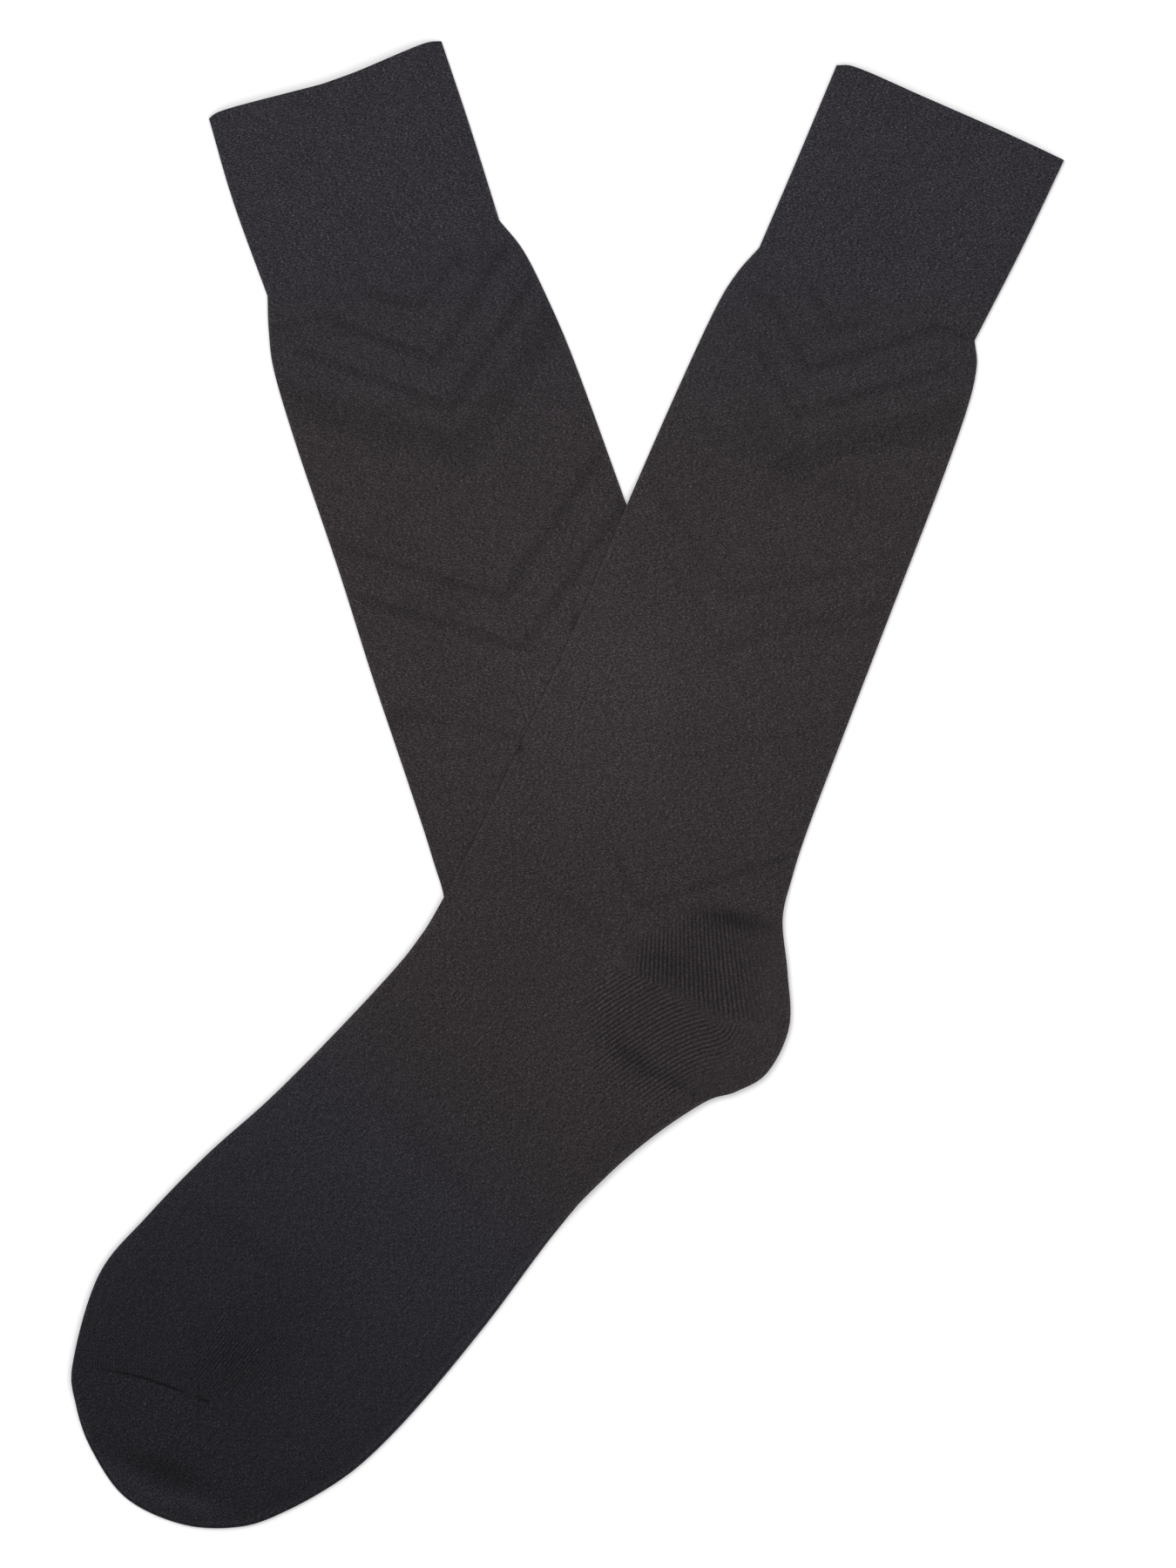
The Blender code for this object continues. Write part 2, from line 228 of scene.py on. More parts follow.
class Crease(NamedTuple):
    """A soft trough: its middle, direction in degrees, half length and width.

    One of negative depth is a ridge. Its shade is the painted shade in it, and
    one of negative shade has a painted highlight.
    """
    x: float
    y: float
    angle: float
    reach: float
    width: float
    depth: float
    shade: float


# The shade column is painted: painted shade in the troughs and painted highlights on the
# ridges. Rows of no depth are patches of painted shade alone, and of painted light where
# their shade is negative.
UPPER_CREASES = (
    Crease(1.9, 49.6, 69, 2.8, 0.6, 0.40, 0.60),
    Crease(-15.0, 11.2, 74, 2.2, 0.85, 0.90, 0.80),
    Crease(-32.0, -26.0, 55, 4.5, 0.9, 0.22, 0.11),
    Crease(2.0, -38.0, -32, 16.0, 2.4, 0.20, 0.10),
    Crease(56.0, 150.0, -24, 7.0, 1.2, 0.30, 0.15),
    Crease(117.5, 137.5, -20, 8.0, 1.2, 0.40, 0.20),
    Crease(46.0, -40.3, -9, 14.0, 3.0, 0.40, 0.20),
    Crease(52.5, -41.4, -14, 9.0, 2.8, 0.40, 0.32),
    Crease(30.0, -54.5, -22, 12.0, 4.5, 0.30, 0.17),
    Crease(15.5, -54.5, -40, 4.5, 3.0, -0.22, -0.11),
    Crease(20.0, -83.0, -38, 10.0, 3.0, 0.42, 0.24),
    Crease(33.0, -90.0, -28, 6.0, 2.2, 0.30, 0.14),
    Crease(60.0, -68.0, 82, 18.0, 6.0, -0.24, -0.12),
    Crease(-36.0, -118.0, -48, 22.0, 3.5, 0.22, 0.11),
    Crease(-96.0, -140.0, -40, 17.0, 3.2, 0.20, 0.10),
    Crease(-97.0, -170.0, 42, 30.0, 15.0, 0.0, 0.14),
    Crease(-123.0, -193.0, -14, 13.0, 8.0, 0.0, -0.06),
    Crease(-121.5, -208.3, -20, 13.0, 3.6, 0.40, 0.34),
    Crease(-132.0, -212.0, -35, 11.0, 2.9, -0.30, -0.50),
    Crease(-116.0, -218.4, -14, 13.0, 2.9, -0.30, -0.50),
    Crease(78.0, 92.0, -23, 26.0, 3.4, 0.16, 0.08),
)
LOWER_CREASES = (
    Crease(1.5, 49.6, 69, 2.8, 0.6, 0.40, 0.60),
    Crease(-86.0, 139.0, 20, 7.0, 1.2, 0.30, 0.15),
    Crease(-26.0, 160.0, 18, 8.0, 1.2, 0.30, 0.15),
    Crease(-52.0, 20.0, 17, 15.0, 2.8, 0.20, 0.10),
    Crease(-44.0, 56.0, 22, 19.0, 3.0, 0.16, 0.08),
    Crease(-20.0, -50.0, 50, 18.0, 2.6, 0.35, 0.17),
    Crease(-62.0, -100.0, -40, 20.0, 3.0, 0.25, 0.12),
    Crease(-100.0, -170.0, -46, 16.0, 2.6, 0.25, 0.12),
)


class SeamSpot(NamedTuple):
    """How strongly the linked seam over the toes shows at a place along x."""
    x: float
    strength: float


TOE_SEAM_SPOTS = (
    SeamSpot(-151.0, 0.10),
    SeamSpot(-142.0, 0.45),
    SeamSpot(-134.5, 0.90),
    SeamSpot(-120.0, 1.00),
    SeamSpot(-116.0, 0.45),
    SeamSpot(-112.0, 0.50),
    SeamSpot(-110.0, 1.00),
)


# ------------------------------------------------------------------ curves

def blend(a, b, t):
    """The point that lies the fraction t of the way from a to b."""
    return tuple(p + (q - p) * t for p, q in zip(a, b))


def smooth_along(points, places, before=None, after=None):
    """Points at places, counted in points, on smooth curves through them.

    The curves leave the ends as if they came from before and went on to after.
    """
    points = np.asarray(points, float)
    places = np.asarray(places, float)
    first = np.clip(places.astype(int), 0, len(points) - 2)
    before = 2 * points[0] - points[1] if before is None else before
    after = 2 * points[-1] - points[-2] if after is None else after
    padded = np.concatenate([[before], points, [after]])
    p, q, r, s = (padded[first + k] for k in range(4))
    t = (places - first).reshape((-1,) + (1,) * (points.ndim - 1))
    return 0.5 * (2 * q + (r - p) * t + (2 * p - 5 * q + 4 * r - s) * t ** 2
                  + (3 * q - p - 3 * r + s) * t ** 3)


def lengths_along(points):
    """The distance along a line to each of its points."""
    steps = np.hypot(*np.diff(points, axis=0).T)
    return np.concatenate([[0.0], np.cumsum(steps)])


def at_distances(line, distances):
    """Points at distances along a line."""
    run = lengths_along(line)
    return np.stack([np.interp(distances, run, line[:, k]) for k in (0, 1)], axis=-1)


def evenly_along(points, spaces):
    """Points at even distances along a smooth curve, from end to end."""
    fine = smooth_along(points, np.linspace(0, len(points) - 1, 16 * len(points)))
    return at_distances(fine, np.linspace(0, lengths_along(fine)[-1], spaces + 1))


COLUMNS = 48   # along each row, before it is sampled at its final points


def line_across(row):
    """A row's points from the front fold to the back fold."""
    if not row.gore:
        return np.linspace(row.front, row.back, COLUMNS + 1)
    to_gore = (row.front, *row.bends_before, row.gore)
    from_gore = (row.gore, *row.bends_after, row.back)
    half = COLUMNS // 2
    return np.concatenate([evenly_along(to_gore, half)[:-1],
                           evenly_along(from_gore, half)])


def led_on(line, inner, front, back):
    """The line past a seam, led on from inner so that its ends meet the outline."""
    past = 2 * line - inner
    share = np.linspace(0, 1, len(line))[:, None]
    if front is not None:
        past = past + (1 - share) ** 3 * (np.asarray(front) - past[0])
    if back is not None:
        past = past + share ** 3 * (np.asarray(back) - past[-1])
    return past


def spread(lines, step, before=(None, None), after=(None, None)):
    """The lines with more between them, closest beside the seams.

    Before and after are the outline's front and back points past the seams.
    """
    lines = np.asarray(lines)
    places = []
    for k in range(len(lines) - 1):
        reach = np.hypot(*(lines[k + 1] - lines[k])[[0, -1]].T).max()
        steps = max(1, math.ceil(reach / step))
        places += [k + i / steps for i in range(steps)]
        if k in (0, len(lines) - 2):
            near = [d / reach for d in SEAM_ROWS]
            places += [k + d for d in near] if k == 0 else [k + 1 - d for d in near]
    places.append(len(lines) - 1)
    return smooth_along(lines, sorted(set(places)), led_on(lines[0], lines[1], *before),
                        led_on(lines[-1], lines[-2], *after))


def square_to(line):
    """The unit vectors square to a line's runs, on their right."""
    run = np.diff(line, axis=0)
    run /= np.hypot(*run.T)[:, None]
    return np.stack([run[:, 1], -run[:, 0]], axis=-1)


def moved_aside(line, distance):
    """A line shifted square to itself, to its right where distance is positive."""
    sides = square_to(line)
    before = np.concatenate([sides[:1], sides])
    after = np.concatenate([sides, sides[-1:]])
    scale = distance / (1 + (before * after).sum(axis=1))
    return line + (before + after) * scale[:, None]


def tube_lines(rows, step, before=(None, None), after=(None, None)):
    """The lines across a tube, from its top seam to its bottom one."""
    lines = spread([line_across(row) for row in rows], step, before, after)
    lines[0] = moved_aside(lines[0], SEAM_GAP / 2)
    lines[-1] = moved_aside(lines[-1], -SEAM_GAP / 2)
    return lines


def pocket_lines(gore, rows, step, before, after):
    """The lines of a pocket, each from its gore to its fold."""
    half = COLUMNS // 2
    lines = spread([evenly_along((gore, *row.bends, row.fold), half) for row in rows],
                   step, (None, before), (None, after))
    lines[0] = moved_aside(lines[0], SEAM_GAP / 2)
    lines[-1] = moved_aside(lines[-1], -SEAM_GAP / 2)
    lines[:, 0] = gore
    return lines


def towards(edge, inner, distance):
    """The edge moved towards an inner point, if the distance is positive."""
    return blend(edge, inner, max(distance, 0.0) / math.dist(edge, inner))


def foot_rows(sign):
    """The foot's rows in the upper sock for +1, and in the lower one for -1."""
    result = []
    for row in FOOT:
        inner_front = (*row.bends_before, row.back)[0]
        inner_back = (row.front, *row.bends_after)[-1]
        result.append(row._replace(
            front=towards(row.front, inner_front, sign * row.shows[0]),
            back=towards(row.back, inner_back, sign * row.shows[1])))
    return result


def toe_rows(sign):
    """The toe's rows in the upper sock for +1, and in the lower one for -1."""
    return [row._replace(fold=towards(row.fold, (TOE_SIDE, *row.bends)[-1],
                                      sign * row.shows)) for row in TOE]


def sock_lines(cuff, leg, gore, heel, sign, step):
    """The lines of each piece of one sock."""
    heel_seam = Row("heel seam", leg[-1].front, heel[-1].fold, gore,
                    bends_after=heel[-1].bends)
    foot = foot_rows(sign)
    toe = toe_rows(sign)
    return {
        "cuff": tube_lines(cuff, step),
        "leg": tube_lines(cuff[-1:] + leg, step, after=(foot[0].front, heel[1].fold)),
        "heel": pocket_lines(gore, heel, step, leg[-2].back, foot[0].back),
        "foot": tube_lines([heel_seam] + foot, step, (leg[-2].front, heel[-2].fold),
                           (toe[-2].fold, toe[1].fold)),
        "toe": pocket_lines(TOE_SIDE, toe, step, foot[-2].back, foot[-2].front),
    }


def outline_of(lines):
    """The closed outline of a flattened sock, down its front and up its back."""
    parts = [lines[zone][:, 0] for zone in ("cuff", "leg", "foot")]
    parts.append(lines["toe"][::-1, -1])
    parts += [lines[zone][::-1, -1] for zone in ("foot", "heel", "leg", "cuff")]
    return np.concatenate(parts)


def back_line(lines):
    """The back of a flattened sock, from the ankle round the heel to the toe."""
    parts = [lines["leg"][-20:, -1], lines["heel"][:, -1], lines["foot"][:, -1],
             lines["toe"][:, -1]]
    return np.concatenate(parts)[::3]


def heel_outline(lines):
    """The closed outline of a heel, from its gore round by its folded edge."""
    heel = lines["heel"]
    return np.concatenate([heel[0, ::4], heel[::4, -1], heel[-1, ::-4]])


# ------------------------------------------------------------------ heights

def smoothstep(t):
    """From 0 to 1 as t does, with a soft start and end."""
    t = np.clip(t, 0.0, 1.0)
    return t * t * (3 - 2 * t)


class Fade(NamedTuple):
    """Something that sets in past a start, over a run, up to an amount."""
    start: float
    run: float
    amount: float = 1.0

    def at(self, distance):
        return self.amount * smoothstep((distance - self.start) / self.run)


def distance_to(points, line):
    """The distance from each point to a line."""
    nearest = np.full(len(points), np.inf)
    for a, b in zip(line, line[1:]):
        run = b - a
        share = np.clip(((points - a) @ run) / max(run @ run, 1e-12), 0, 1)
        nearest = np.minimum(nearest, np.hypot(*(points - a - share[:, None] * run).T))
    return nearest


def near_line(points, line, width):
    """How close each point is to a line, from 1 on it to 0 past its width."""
    return np.exp(-(distance_to(points, line) / width) ** 2)


def is_inside(points, outline):
    """Whether each point lies inside a closed outline."""
    x, y = points.T
    inside = np.zeros(len(points), bool)
    for a, b in zip(outline, np.roll(outline, -1, axis=0)):
        if a[1] != b[1]:
            spans = (a[1] > y) != (b[1] > y)
            inside ^= spans & (x < a[0] + (y - a[1]) / (b[1] - a[1]) * (b[0] - a[0]))
    return inside


def distances_from(points, outline):
    """How far each point lies inside a closed outline, and how far outside it."""
    near = distance_to(points, np.concatenate([outline, outline[:1]]))
    inside = is_inside(points, outline)
    return np.where(inside, near, 0.0), np.where(inside, 0.0, near)


class Wave(NamedTuple):
    """A wave in laid cloth: its length in mm, and its direction in radians."""
    size: float
    turn: float


WAVES = (Wave(61, 0.4), Wave(43, 2.1), Wave(29, 4.0), Wave(19, 5.3))
WAVE_REACH = 1.7      # a wave is this much longer along its crest


def waves(points, seed):
    """Gentle unevenness of laid cloth, between about -1 and 1."""
    x, y = points.T
    total = np.zeros(len(points))
    for k, wave in enumerate(WAVES):
        turn = wave.turn + seed
        along = x * math.cos(turn) + y * math.sin(turn)
        beside = -x * math.sin(turn) + y * math.cos(turn)
        total += np.sin(2 * math.pi * along / wave.size + k + seed) \
            * np.cos(2 * math.pi * beside / (WAVE_REACH * wave.size) + 2 * k)
    return total / len(WAVES)


CREASE_TAPER = 1.2    # how soon a crease ends past its half length
CREASE_BOW = 0.02     # how much it bows


def creases_at(points, creases):
    """How deep the creases are at each point, in millimetres, and their painted shade."""
    depth = np.zeros(len(points))
    shade = np.zeros(len(points))
    for crease in creases:
        angle = math.radians(crease.angle)
        dx, dy = points[:, 0] - crease.x, points[:, 1] - crease.y
        along = dx * math.cos(angle) + dy * math.sin(angle)
        across = -dx * math.sin(angle) + dy * math.cos(angle)
        across = across + CREASE_BOW * along ** 2 / crease.reach
        close = np.exp(-(along / crease.reach) ** 2 * CREASE_TAPER
                       - (across / crease.width) ** 2)
        depth += crease.depth * close
        shade += crease.shade * close
    return depth, shade


BAND_SIDE = Fade(0.5, 0.9)    # across half a band, from its middle


class LegFrame(NamedTuple):
    """The leg's own axes: the middle of the cuff's lower edge and the way down."""
    origin: tuple
    down: tuple


FOOT_DOWN = (-0.66, -0.75)
UPPER_LEG_FRAME = LegFrame((90.3, 148.9), (-0.382, -0.924))
LOWER_LEG_FRAME = LegFrame((-56.0, 159.7), (0.328, -0.945))


def bands_at(points, leg, bands):
    """How strongly the chevron bands show at each point, from 0 to 1."""
    dx, dy = points[:, 0] - leg.origin[0], points[:, 1] - leg.origin[1]
    below = dx * leg.down[0] + dy * leg.down[1]
    aside = -dx * leg.down[1] + dy * leg.down[0]
    total = np.zeros(len(points))
    for band in bands:
        rise = math.radians(band.rise)
        side = aside - band.aside
        out = np.abs(side)
        drop = below - (band.below - out * math.tan(rise))
        across = np.abs(drop) * math.cos(rise) / (band.width / 2)
        reach = np.where(side < 0, band.front_reach, band.back_reach)
        strength = np.where(side < 0, band.front, band.back)
        end = Fade(-BAND_END / 2, BAND_END).at(out - reach)
        total = np.maximum(total, strength * (1 - BAND_SIDE.at(across)) * (1 - end))
    return total


# ------------------------------------------------------------------ one sock's facts

class Sock(NamedTuple):
    """One sock: its lines and outlines, what it lies on, and what marks it."""
    side: str
    lines: dict
    outline: np.ndarray
    heel_outline: np.ndarray
    back: np.ndarray
    base: object
    creases: tuple
    bands: tuple
    leg: LegFrame
    gore: tuple
    heel: tuple
    seed: float


class Seam(NamedTuple):
    """A seam that shows as a groove with painted shade in it, and where along x it shows how
    strongly.
    """
    line: np.ndarray
    width: float
    depth: float
    shade: float
    spots: tuple = ()


def toe_seam_line():
    """Points along the linked seam over the toes."""
    return evenly_along((FOOT[-1].front, *TOE_SEAM_CROWN, TOE_SIDE), 10)


def seams_of(sock):
    """The seams that show, over the toes and under the heel."""
    sole = evenly_along((sock.gore, *sock.heel[-1].bends, sock.heel[-1].fold), 8)
    return (Seam(toe_seam_line(), width=0.32, depth=0.50, shade=0.55, spots=TOE_SEAM_SPOTS),
            Seam(sole[3:], width=2.6, depth=0.07, shade=0.077))


def grooves_at(points, sock):
    """How deep the seams' grooves are at each point, and their painted shade."""
    depth = np.zeros(len(points))
    shade = np.zeros(len(points))
    for seam in seams_of(sock):
        close = near_line(points, seam.line, seam.width)
        if seam.spots:
            close *= np.interp(points[:, 0], *zip(*seam.spots))
        depth += seam.depth * close
        shade += seam.shade * close
    return depth, shade


class Patch(NamedTuple):
    """A wide soft patch of something, and how much of it."""
    x: float
    y: float
    half_width: float
    half_height: float
    gain: float

    def at(self, points):
        x, y = points.T
        return self.gain * np.exp(-((x - self.x) / self.half_width) ** 2
                                  - ((y - self.y) / self.half_height) ** 2)


# Painted light: lighter where more light falls on the pair, and painted shade that deepens
# along the foot towards the toes.
PAINTED_LIGHT_PATCHES = (
    Patch(14.0, 28.0, 34.0, 42.0, 0.18),          # painted light where the legs part
    Patch(0.0, 60.0, math.inf, 60.0, 0.05),       # painted light right across the legs
    Patch(5.0, -30.0, 45.0, 30.0, -0.04),         # painted shade above the instep
)
FOOT_PAINTED_SHADE = Fade(10.0, 250.0)           # painted shade, along the foot towards the toes
FOOT_DARKEST, FOOT_CURVE = 0.58, 0.95
CUFF_DARKENS = Fade(110.0, 50.0, 0.055)    # along y, towards the cuffs
FOOT_COOLS = Fade(75.0, 60.0)              # its black turns bluish
CUFF_COOLS = Fade(70.0, 110.0, 0.75)


def shade_of(points):
    """Lightness of the cloth at each point, with painted light and shade, and how warm its
    black is.
    """
    y = points[:, 1]
    along_foot = points @ FOOT_DOWN
    light = 1.0 - FOOT_DARKEST * FOOT_PAINTED_SHADE.at(along_foot) ** FOOT_CURVE
    for patch in PAINTED_LIGHT_PATCHES:
        light += patch.at(points)
    light -= CUFF_DARKENS.at(y)
    warm = (1 - FOOT_COOLS.at(along_foot)) * (1 - CUFF_COOLS.at(y))
    return light, warm


# ------------------------------------------------------------------ ribs

HEEL_PITCH = 1.32     # of the ribs that show at the heel
HEEL_FRONT = 15.0     # where the heel begins along x
HEEL_LEAN = -0.12     # the ribs lean forwards there
HEEL_FAN = 0.30       # and this much further back at the fold
HEEL_WIDTH = 45.0
HEEL_LEVEL = -55.0    # the height at which they are counted along x
TOE_PITCH = 1.03      # of those near the toes
TOE_RIBS = math.radians(52)   # which way those run
TOE_RIBS_FROM = 125.0         # and from where along the foot
TICK_PITCH = 0.88     # of the linked stitches at the toe seam
TICK_SIDE = (0.0, 1.6)        # they stand on its foot side
TICK_WIDTH = 1.5
TICK_REACH = 5.0      # the map of the ticks goes on this far above the seam
TICK_STOP = 3.0       # and stops this far before the side of the toe
TICKS_BEGIN = Fade(-152.0, 8.0)
TICKS_END = Fade(-122.0, 8.0)


def tick_strength(points):
    """How strongly the linked stitches show beside the seam over the toes."""
    x = points[:, 0]
    close = near_line(points, toe_seam_line() + TICK_SIDE, TICK_WIDTH)
    return close * TICKS_BEGIN.at(x) * (1 - TICKS_END.at(x))


def gore_line(sock):
    """The heel's gore line, from its gore to its fold."""
    return np.asarray((sock.gore, *sock.heel[2].bends, sock.heel[2].fold))


def rib_wales(points, sock):
    """The rib that each point is on, above a heel's gore line and below it.

    Above the line the ribs run down the back of the heel, and spread a little.
    Below it they run round the turn of the heel, beside the back of the sock,
    and further on towards the toes. Returns both, and whether each point is
    below.
    """
    x, y = points.T
    lean = HEEL_LEAN + HEEL_FAN * np.clip((x - HEEL_FRONT) / HEEL_WIDTH, 0, 1)
    upper = (x - lean * (HEEL_LEVEL - y)) / HEEL_PITCH
    toes = (x * math.sin(TOE_RIBS) - y * math.cos(TOE_RIBS)) / TOE_PITCH
    lower = np.where(points @ FOOT_DOWN > TOE_RIBS_FROM, toes,
                     distance_to(points, sock.back) / HEEL_PITCH)
    seam = toe_seam_line()
    ticks = (y < np.interp(x, *seam.T) + TICK_REACH) & (x < seam[-1, 0] - TICK_STOP)
    lower = np.where(ticks, x / TICK_PITCH, lower)
    below = (y < np.interp(x, *gore_line(sock).T)) | (x < sock.gore[0])
    return upper, lower, below


# Where the ribs of the heel fade, above and below the gore line
PAST_TOP = Fade(-3.5, 5.0)         # outwards over the heel's outline
BEHIND_GORE = Fade(13.5, 9.0)      # backwards from the gore
UNDER_SOLE = (Fade(3.0, 7.0, 0.35), Fade(8.0, 34.0, 0.65))
FORWARDS = Fade(-14.0, 20.0, 0.65)
BELOW_INSTEP = Fade(52.0, 8.0)
INSTEP_SLOPE = 0.25
EDGE_FAINT = 0.2                   # all that is left of them at the back edge
EDGE_NEAR, EDGE_SETS_IN = 1.0, 9.0 # from where inside it, and over what run
EDGE_WIDENS = Fade(30.0, 20.0, 9.0)     # a longer run towards the fold
GORE_BLUR = 0.5                    # they are fainter beside the gore line
GORE_BLUR_WIDTH = 1.8
GORE_BLUR_FROM = Fade(24.0, 12.0)
# And those of the toe
BALL = Patch(-103.0, -175.0, 17.0, 14.0, 1.0)
PAST_SEAM = (5.0, -8.0)
PAST_SEAM_WIDTH = 7.0
PAST_SEAM_SHOWS = 0.35
TICK_SHOWS = 0.9


def rib_strength(points, sock):
    """How strongly ribs show at each point, from 0 to 1."""
    x, y = points.T
    inside, out = distances_from(points, sock.heel_outline)
    _, _, below = rib_wales(points, sock)
    above = (1 - PAST_TOP.at(out - inside)) * BEHIND_GORE.at(x)
    under = 1 - sum(fade.at(out) for fade in UNDER_SOLE)
    under *= 1 - FORWARDS.at(-x)
    under *= BELOW_INSTEP.at(-y - INSTEP_SLOPE * (HEEL_FRONT - x))
    edge = Fade(EDGE_NEAR, EDGE_SETS_IN + EDGE_WIDENS.at(x), 1 - EDGE_FAINT)
    edge = EDGE_FAINT + edge.at(distance_to(points, sock.back))
    blur = near_line(points, gore_line(sock), GORE_BLUR_WIDTH)
    edge *= 1 - GORE_BLUR * blur * GORE_BLUR_FROM.at(x)
    toe = near_line(points, toe_seam_line() + PAST_SEAM, PAST_SEAM_WIDTH)
    return np.maximum.reduce([np.where(below, under, above) * edge, BALL.at(points),
                              PAST_SEAM_SHOWS * toe, TICK_SHOWS * tick_strength(points)])


# ------------------------------------------------------------------ meshes

RELIEF_SETS_IN = Fade(-1.2, 3.0)      # inwards from a fold
WAVE_SHADE = 0.05                     # how much the cloth varies in lightness
SHADE_WAVES = 1.3                     # over smaller waves than its own
HEEL_SHADE_ABOVE = 0.14               # the heel is darker above its gore line
HEEL_SHADE_BELOW = 0.05               # than below it
HEEL_SHADE_RUN = 12.0                 # and this sets in over this run
FOLD_HIGHLIGHT = Fade(-0.5, 1.2, 0.30)           # a painted highlight along the folds
FOOT_FOLD_HIGHLIGHT = Fade(-0.5, 1.8, 0.45)


class Ring(NamedTuple):
    """Where a section's points are: inset from the edges, share and height."""
    inset: np.ndarray
    share: np.ndarray
    height: np.ndarray


def ring_of(across, closed):
    """The points round a section, from the front fold over the top to the back.

    A point lies inset + share x width along its line, and its height goes from
    0 on the underside to 1 on top. The folds bulge most low down.
    """
    t = np.linspace(0, 1, across + 1)
    arc = np.radians(np.linspace(90, -90, FOLD_STEPS + 2)[1:-1])
    bulge = FOLD * (1 - np.cos(arc))
    fold_height = ((1 + np.sin(arc)) / 2) ** FOLD_SAG
    panel = FOLD * (1 - 2 * t) if closed else -FOLD * t
    inset = [panel, -bulge, panel[::-1]]
    share = [t, np.ones(len(arc)), t[::-1]]
    height = [np.ones(len(t)), fold_height, np.zeros(len(t))]
    if closed:
        inset.append(bulge[::-1])
        share.append(np.zeros(len(arc)))
        height.append(fold_height[::-1])
    return Ring(*(np.concatenate(part) for part in (inset, share, height)))


def thickness_at(depth, edge=EDGE_THICK):
    """How thick a flattened sock is at a distance inside its edge."""
    t = np.clip(depth / EDGE_RUN, 0, 1)
    return edge + (SOCK_THICK - edge) * (1 - (1 - t) ** PUFF)


def knit_axes(points, sock, zone):
    """Where each point is across the sock and along it."""
    down = FOOT_DOWN if zone in ("foot", "toe") else sock.leg.down
    return points @ (-down[1], down[0]), points @ down


def zone_shade(sock, zone, points, depth):
    """The point values that the materials read, with painted light and shade in the
    lightness.
    """
    bands = bands_at(points, sock.leg, sock.bands) * (zone != "cuff")
    _, crease_shade = creases_at(points, sock.creases)
    light, warm = shade_of(points)
    # The bands are the knit's own darker tone. The creases add painted shade, and painted
    # highlights where their shade is negative.
    light *= (1 - BAND_SHADE * bands) * (1 - crease_shade)
    # Painted shade in the seams' grooves.
    if zone in ("heel", "foot", "toe"):
        light *= 1 - grooves_at(points, sock)[1]
    light *= 1 + WAVE_SHADE * waves(points * SHADE_WAVES, sock.seed + 1)
    inside, _ = distances_from(points, sock.heel_outline)
    below = rib_wales(points, sock)[2]
    heel = np.where(below, HEEL_SHADE_BELOW, HEEL_SHADE_ABOVE)
    light *= 1 - heel * smoothstep(inside / HEEL_SHADE_RUN)
    # A painted highlight along the folds, stronger on the foot and toe.
    fold_highlight = FOOT_FOLD_HIGHLIGHT if zone in ("foot", "toe") else FOLD_HIGHLIGHT
    light *= 1 + fold_highlight.amount - fold_highlight.at(depth)
    return {"light": light, "warm": warm, "ribs": rib_strength(points, sock)}


def zone_height(sock, zone, lines, points, height, depth):
    """The height of each point of a zone above the surface."""
    dents, _ = creases_at(points, sock.creases)
    bands = bands_at(points, sock.leg, sock.bands) * (zone != "cuff")
    sunk = WAVE_DEPTH * (1 - waves(points, sock.seed)) + dents + BAND_DEPTH * bands
    if zone in ("heel", "foot", "toe"):
        sunk += grooves_at(points, sock)[0]
    if zone in ("cuff", "leg"):
        joined = lines[0] if zone == "leg" else lines[-1]
        sunk += JOIN_DEPTH * near_line(points, joined[::6], JOIN_WIDTH)
    sunk *= RELIEF_SETS_IN.at(depth)
    base = sock.base(points)
    pressed = smoothstep(2 * base / SOCK_THICK)
    edge = EDGE_THICK - (EDGE_THICK - PRESSED_EDGE) * pressed
    return base + height * (thickness_at(depth, edge) - sunk)


class Built(NamedTuple):
    """The points of a piece in rows, its two maps and its values."""
    points: np.ndarray
    rows: int
    count: int
    closed: bool
    knit: tuple
    ribs: tuple
    values: dict


def build_zone(sock, zone):
    """The fine cloth of one knitted zone of one sock."""
    closed = zone not in ("heel", "toe")
    lines = sock.lines[zone]
    widths = np.array([lengths_along(line)[-1] for line in lines])
    ring = ring_of(int(widths.max() / ACROSS_STEP), closed)
    places = np.clip(ring.inset + ring.share * widths[:, None], 0, widths[:, None])
    grid = np.stack([at_distances(line, place) for line, place in zip(lines, places)])
    rows, count = grid.shape[:2]
    flat = grid.reshape(-1, 2)
    height = np.tile(ring.height, rows)
    if closed:
        depth = np.minimum(places, widths[:, None] - places).ravel()
    else:
        depth, _ = distances_from(flat, sock.outline)
    depth = depth - FOLD
    z = zone_height(sock, zone, lines, flat, height, depth)
    points = np.concatenate([flat, z[:, None]], axis=1) * MM
    # The map goes on round the folds, and is the same on both panels.
    across, along = knit_axes(flat, sock, zone)
    outward = 2 * np.tile(ring.share, rows) - 1
    across = across + outward * EDGE_THICK * (1 - height)
    return Built(points, rows, count, closed, (across, along), rib_wales(flat, sock),
                 zone_shade(sock, zone, flat, depth))


def add_map(mesh, name, across, along):
    """A UV layer from the values at each face corner."""
    coords = np.stack([across, along], axis=-1) / MAP_UNIT
    mesh.uv_layers.new(name=name).uv.foreach_set(
        "vector", coords.astype(np.float32).ravel())


